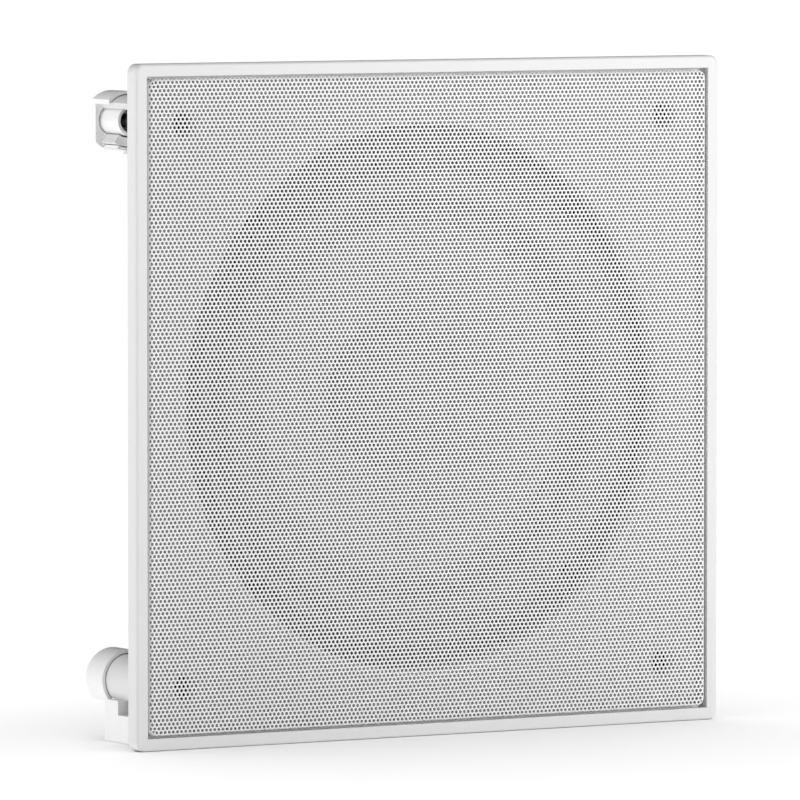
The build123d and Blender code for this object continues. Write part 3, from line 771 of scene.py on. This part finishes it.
def cross_head_screw():
    """The tree of a pan-head screw with a cross recess and a rolled thread, set at up to four corners."""
    tree = GeometryTree(
        "cross_head_screw",
        Head="Float",
        Height="Float",
        Crest="Float",
        Thread="Float",
        Length="Float",
        Count="Int",
        Middle="Vector",
        Spread="Vector",
        Facing="Float",
        Material="Material",
    )
    given = tree.given
    head, height, crest = given["Head"], given["Height"], given["Crest"]
    thread, shank = given["Thread"], given["Length"]
    across, back, up = tree.axes(tree.position)

    # The head stands on z = 0, and its top falls away towards the rim
    head_steps = {"Vertices": HEAD_SIDES, "Side Segments": HEAD_LEVELS, "Fill Segments": HEAD_RINGS}
    disc = tree.node("GeometryNodeMeshCylinder", inputs={**head_steps, "Radius": head, "Depth": height})
    raised = tree.shift(disc, Z=height / 2)
    reach = (across * across + back * back) / (head * head)
    rim_drop = 0.25 * height
    fall = rim_drop * reach * reach * up / height
    domed = tree.move(raised, tree.vector(X=across, Y=back, Z=up - fall))

    # Two crossed slots, cut by a block whose middle is at the top of the head
    slot_length = 1.16 * head
    slot_width = 0.26 * head
    block_height = 0.8 * head
    size = tree.vector(X=slot_length, Y=slot_width, Z=block_height)
    block = tree.node("GeometryNodeMeshCube", inputs={"Size": size})
    cutters = []
    for turn in (0, math.pi / 2):
        inputs = {"Geometry": block, "Translation": tree.vector(Z=height), "Rotation": (0, 0, turn)}
        cutters.append(tree.node("GeometryNodeTransform", inputs=inputs))
    recessed = tree.node(
        "GeometryNodeMeshBoolean", {"operation": "DIFFERENCE"}, {"Mesh 1": domed, "Mesh 2": cutters}
    )

    # The shank: its radius rises to the crest once in each turn of the thread and narrows at the tip
    shank_steps = {"Vertices": SHANK_SIDES, "Side Segments": shank / thread * STEPS_PER_TURN}
    rod = tree.node("GeometryNodeMeshCylinder", inputs={**shank_steps, "Radius": crest, "Depth": shank})
    hung = tree.shift(rod, Z=shank / -2)
    around = back.calc("ARCTAN2", back, across) / (2 * math.pi)
    phase = up.calc("FRACT", up / thread - around)
    ridge = 1 - abs(phase * 2 - 1)
    depth = 0.25 * thread
    tip_share = 0.6
    gain_per_turn = 0.3
    tip = up.calc("MINIMUM", (up + shank) / thread * gain_per_turn + tip_share, 1.0)
    share = (crest - depth + depth * ridge) / crest * tip
    threaded = tree.move(hung, tree.vector(X=across * share, Y=back * share, Z=up))

    # Screws at the corners of a rectangle, each turned to rest as it was driven home
    index = tree.node("GeometryNodeInputIndex")
    signs = tree.vector(X=1 - 2 * (index % 2), Z=1 - 2 * (index // 2))
    spot = tree.combine("ADD", given["Middle"], tree.combine("MULTIPLY", given["Spread"], signs))
    points = tree.node("GeometryNodePoints", inputs={"Count": given["Count"], "Position": spot})
    angles = tree.vector(X=given["Facing"], Y=index * SCREW_TURN)
    driven = tree.node("FunctionNodeEulerToRotation", inputs={0: angles})
    inputs = {"Points": points, "Instance": tree.join(recessed, threaded), "Rotation": driven}
    tree.finish(tree.node("GeometryNodeInstanceOnPoints", inputs=inputs))
    return tree


def drive_screws(tree, steel, node, sizes, count, facing):
    """Sets threaded screws in place of a node's plain ones."""
    low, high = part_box(node)
    seat = low.y + sizes.height if facing == FACING_FRONT else high.y - sizes.height
    values = {
        "Head": sizes.head,
        "Height": sizes.height,
        "Crest": sizes.crest,
        "Thread": sizes.thread,
        "Length": high.y - low.y - sizes.height,
        "Count": count,
        "Middle": ((low.x + high.x) / 2, seat, (low.z + high.z) / 2),
        "Spread": ((high.x - low.x) / 2 - sizes.head, 0.0, (high.z - low.z) / 2 - sizes.head),
        "Facing": facing,
        "Material": steel,
    }
    name = "threaded_" + node
    mesh = grow(name, tree, values)
    smooth(mesh)
    add_piece(name, mesh, frame["nodes"][node]["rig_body"], "screw_black", node)


def ring_sector(name, ring, middle, width):
    """Cuts one sector out of a ring about the driver's axis and closes its two cuts."""
    shape = bmesh.new()
    shape.from_mesh(ring)
    bmesh.ops.remove_doubles(shape, verts=shape.verts, dist=SEAM_WELD)
    for side in (-1, 1):
        angle = middle + side * width / 2
        outward = side * Vector((-math.sin(angle), 0, math.cos(angle)))
        whole = [*shape.verts, *shape.edges, *shape.faces]
        bmesh.ops.bisect_plane(shape, geom=whole, plane_no=outward, plane_co=(0, 0, 0), clear_outer=True)
        rims = [edge for edge in shape.edges if edge.is_boundary]
        bmesh.ops.holes_fill(shape, edges=rims)
    mesh = bpy.data.meshes.new(name)
    shape.to_mesh(mesh)
    shape.free()
    smooth(mesh)
    return mesh


def bend_ring(node, material, sectors):
    """Stands in for a ring by sectors cut out of it, each closed at its cuts."""
    width = 2 * math.pi / sectors
    for sector in range(sectors):
        name = f"{node}_sector_{sector + 1}"
        middle = sector * width
        mesh = ring_sector(name, frame["nodes"][node].data, middle, width)
        mesh.materials.append(material)
        piece = add_object(name, mesh)
        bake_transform(piece)
        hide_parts(node)


class SPEAKER_OT_stage(bpy.types.Operator):
    """Set the floor, the lights and the camera"""

    bl_idname = "speaker.stage"
    bl_label = "Stage"

    def execute(self, context):
        stage = context.scene.speaker_stage
        context.scene.view_settings.view_transform = "Standard"
        context.scene.camera = self.camera(stage)
        floor = self.floor(stage)
        context.scene.world = self.surroundings(stage)
        beside = self.receivers("all_but_floor", floor, "EXCLUDE")
        for name, (place, size) in LIGHTS.items():
            self.light(name, place, size, getattr(stage, name), beside)
        self.floor_light(stage, self.receivers("floor_alone", floor, "INCLUDE"))
        return {"FINISHED"}

    def camera(self, stage):
        turn = math.radians(stage.azimuth)
        rise = math.radians(stage.elevation)
        level = math.cos(rise)
        back = Vector((math.sin(turn) * level, -math.cos(turn) * level, math.sin(rise)))
        data = bpy.data.cameras.new("camera")
        data.lens = stage.lens
        data.sensor_width = stage.sensor
        camera = add_object("camera", data)
        camera.location = Vector(stage.aim) + back * stage.distance
        camera.rotation_euler = (-back).to_track_quat("-Z", "Y").to_euler()
        return camera

    def floor(self, stage):
        reach = stage.reach
        mesh = bpy.data.meshes.new("floor")
        corners = [(-reach, -reach), (reach, -reach), (reach, reach), (-reach, reach)]
        mesh.from_pydata([(x, y, cad_low.z) for x, y in corners], [], [(0, 1, 2, 3)])
        tree = ShaderTree("pale_floor")
        tree.set(Base_Color=(*stage.tone, 1), Roughness=0.9, Specular_IOR_Level=0.0)
        mesh.materials.append(tree.material)
        floor = add_object("floor", mesh)
        return floor

    def surroundings(self, stage):
        """White beyond the floor, and a weak even light from it."""
        world = bpy.data.worlds.new("studio")
        world.use_nodes = True
        tree = Tree(world.node_tree)
        white = (1, 1, 1, 1)
        seen = tree.node("ShaderNodeLightPath", output="Is Camera Ray")
        weak = tree.node("ShaderNodeBackground", inputs={"Color": white, "Strength": stage.sky})
        plain = tree.node("ShaderNodeBackground", inputs={"Color": white, "Strength": 1.0})
        mixed = tree.node("ShaderNodeMixShader", inputs={0: seen, 1: weak, 2: plain})
        tree.data.links.new(mixed.output, tree.data.nodes["World Output"].inputs["Surface"])
        return world

    def receivers(self, name, floor, state):
        """The surfaces that a light falls on: the floor alone, or all but the floor."""
        collection = bpy.data.collections.new(name)
        collection.objects.link(floor)
        collection.collection_objects[0].light_linking.link_state = state
        return collection

    def light(self, name, place, size, watts, receivers):
        """A soft square light that faces the origin, at the middle of the frame."""
        data = bpy.data.lights.new(name, "AREA")
        data.size = size
        data.energy = watts
        light = add_object(name, data)
        light.location = place
        light.rotation_euler = (-Vector(place)).to_track_quat("-Z", "Y").to_euler()
        light.visible_camera = False
        light.light_linking.receiver_collection = receivers

    def floor_light(self, stage, receivers):
        """A soft light from above that whitens the floor up to the shadow in front of the base."""
        data = bpy.data.lights.new("floor_light", "SUN")
        data.energy = stage.floor
        data.angle = math.radians(stage.spread)
        light = add_object("floor_light", data)
        light.rotation_euler.x = math.radians(stage.tilt)
        light.light_linking.receiver_collection = receivers


class SPEAKER_OT_grille(bpy.types.Operator):
    """Make the perforated grille with its folded edge"""

    bl_idname = "speaker.grille"
    bl_label = "Grille"

    def execute(self, context):
        sizes = context.scene.speaker_grille
        coat = powder_coat("grille_coat", context.scene.speaker_finish.grille, roughness=0.5)
        edge = grille_half - sizes.bend + sizes.bend * math.pi / 2
        column_reach = math.ceil(edge / sizes.pitch) + 1
        row_reach = math.ceil(edge / (sizes.pitch * ROW_RISE)) + 1
        row_total = 2 * row_reach + 1
        ends = [round(row_total * band / sizes.bands) for band in range(sizes.bands + 1)]
        tree = perforated_sheet()
        for band, (first, last) in enumerate(zip(ends, ends[1:]), 1):
            name = f"grille_sheet_{band}"
            values = {
                "Pitch": sizes.pitch,
                "Hole": sizes.hole,
                "Sheet": sizes.sheet,
                "First Row": first - row_reach,
                "Row Count": last - first,
                "Column Reach": column_reach,
                "Hole Rows": sizes.rows,
                "Hole Columns": sizes.columns,
                "Edge": edge,
                "Material": coat,
            }
            mesh = grow(name, tree, values)
            fold_sheet(mesh, sizes)
            add_piece(name, mesh, "root", "grille_paint", "grille")
        skirt = skirt_mesh(sizes)
        skirt.materials.append(coat)
        add_piece("grille_skirt", skirt, "root", "grille_paint", "grille")
        return {"FINISHED"}


class SPEAKER_OT_moulding(bpy.types.Operator):
    """Finish the moulded frame, its magnets and the clamps"""

    bl_idname = "speaker.moulding"
    bl_label = "Moulding and clamps"

    def execute(self, context):
        finish = context.scene.speaker_finish
        # The face behind the grille is painted grey as shade
        white = moulded_plastic("white_moulding", finish.moulding, roughness=0.5, shade_behind_grille=finish.baffle)
        paint(white, "baffle_frame")
        paint(bare_metal("magnet_nickel", finish.nickel, roughness=0.15, marks=300.0), "grille_magnets")
        nylon = moulded_plastic("clamp_nylon", finish.clamp, roughness=0.42)
        for corner in CORNERS:
            paint(nylon, "clamp_cap_" + corner, "clamp_dog_" + corner)
        return {"FINISHED"}


class SPEAKER_OT_screws(bpy.types.Operator):
    """Make the clamp screws and the screws of the driver and the terminal"""

    bl_idname = "speaker.screws"
    bl_label = "Screws"

    def execute(self, context):
        steel = oxide_steel("screw_oxide", context.scene.speaker_finish.screw)
        tree = cross_head_screw()
        long_sizes = context.scene.speaker_clamp_screw
        short_sizes = context.scene.speaker_fixing_screw
        for corner in CORNERS:
            drive_screws(tree, steel, "clamp_screw_" + corner, long_sizes, count=1, facing=FACING_FRONT)
        drive_screws(tree, steel, "driver_screws", short_sizes, count=4, facing=FACING_FRONT)
        drive_screws(tree, steel, "terminal_screws", short_sizes, count=2, facing=FACING_BACK)
        return {"FINISHED"}


class SPEAKER_OT_driver(bpy.types.Operator):
    """Finish the driver's basket, moving cone and coil"""

    bl_idname = "speaker.driver"
    bl_label = "Driver"

    def execute(self, context):
        finish = context.scene.speaker_finish
        bends = context.scene.speaker_suspension
        paint(powder_coat("basket_coat", finish.basket, roughness=0.42), "basket")
        paint(foam("gasket_foam", finish.foam), "driver_gasket")
        roll = rubber("surround_rubber", finish.rubber)
        bend_ring("surround", roll, bends.sectors)
        paint(pulp("cone_pulp", finish.pulp), "cone")
        cloth = woven_cloth("dust_cap_cloth", finish.cap_cloth, thread=0.5 * MM, roughness=0.75)
        paint(cloth, "dust_cap")
        waves = woven_cloth("spider_cloth", finish.spider_cloth, thread=0.6 * MM, roughness=0.85)
        bend_ring("spider", waves, bends.sectors)
        paint(bare_metal("former_foil", finish.foil, roughness=0.2, marks=150.0), "coil_former")
        paint(wound_wire("coil_copper", finish.copper, wire=0.3 * MM), "voice_coil")
        return {"FINISHED"}


class SPEAKER_OT_motor(bpy.types.Operator):
    """Finish the motor's plates and magnet"""

    bl_idname = "speaker.motor"
    bl_label = "Motor"

    def execute(self, context):
        finish = context.scene.speaker_finish
        paint(turned_plate("motor_zinc", finish.zinc), "top_plate", "pole_yoke")
        paint(ferrite_ceramic("motor_ferrite", finish.ferrite), "ferrite_ring")
        return {"FINISHED"}


class SPEAKER_OT_terminal(bpy.types.Operator):
    """Finish the spring terminal and the tag strip"""

    bl_idname = "speaker.terminal"
    bl_label = "Terminal"

    def execute(self, context):
        finish = context.scene.speaker_finish
        paint(moulded_plastic("terminal_plastic", finish.terminal, roughness=0.45), "terminal_block")
        red = moulded_plastic("red_lever_plastic", finish.red_lever, roughness=0.3)
        paint(red, "terminal_lever_red")
        black = moulded_plastic("black_lever_plastic", finish.black_lever, roughness=0.3)
        paint(black, "terminal_lever_black")
        paint(pressed_board("tag_phenolic", finish.tag_board), "tag_strip")
        paint(bare_metal("tag_tin", finish.tin, roughness=0.25, marks=800.0), "tag_lugs")
        return {"FINISHED"}


class SPEAKER_PT_panel(bpy.types.Panel):
    """The loudspeaker's pieces and sizes"""

    bl_idname = "SPEAKER_PT_panel"
    bl_label = "Loudspeaker"
    bl_space_type = "VIEW_3D"
    bl_region_type = "UI"
    bl_category = "Loudspeaker"

    def draw(self, context):
        for operator in OPERATORS:
            self.layout.operator(operator.bl_idname)
        for name, group in SETTINGS.items():
            box = self.layout.box()
            for setting in group.__annotations__:
                box.prop(getattr(context.scene, name), setting)


OPERATORS = (
    SPEAKER_OT_stage,
    SPEAKER_OT_grille,
    SPEAKER_OT_moulding,
    SPEAKER_OT_screws,
    SPEAKER_OT_driver,
    SPEAKER_OT_motor,
    SPEAKER_OT_terminal,
)
SETTINGS = {
    "speaker_grille": GrilleSizes,
    "speaker_clamp_screw": ClampScrewSizes,
    "speaker_fixing_screw": FixingScrewSizes,
    "speaker_suspension": SuspensionSizes,
    "speaker_finish": FinishColours,
    "speaker_stage": StageSettings,
}
CLASSES = (*SETTINGS.values(), *OPERATORS, SPEAKER_PT_panel)


def register():
    for cls in CLASSES:
        bpy.utils.register_class(cls)
    for name, group in SETTINGS.items():
        setattr(bpy.types.Scene, name, PointerProperty(type=group))


def unregister():
    for name in SETTINGS:
        delattr(bpy.types.Scene, name)
    for cls in reversed(CLASSES):
        bpy.utils.unregister_class(cls)


def main():
    register()
    bpy.ops.speaker.stage()
    bpy.ops.speaker.grille()
    bpy.ops.speaker.moulding()
    bpy.ops.speaker.screws()
    bpy.ops.speaker.driver()
    bpy.ops.speaker.motor()
    bpy.ops.speaker.terminal()


if __name__ == "__main__":
    main()
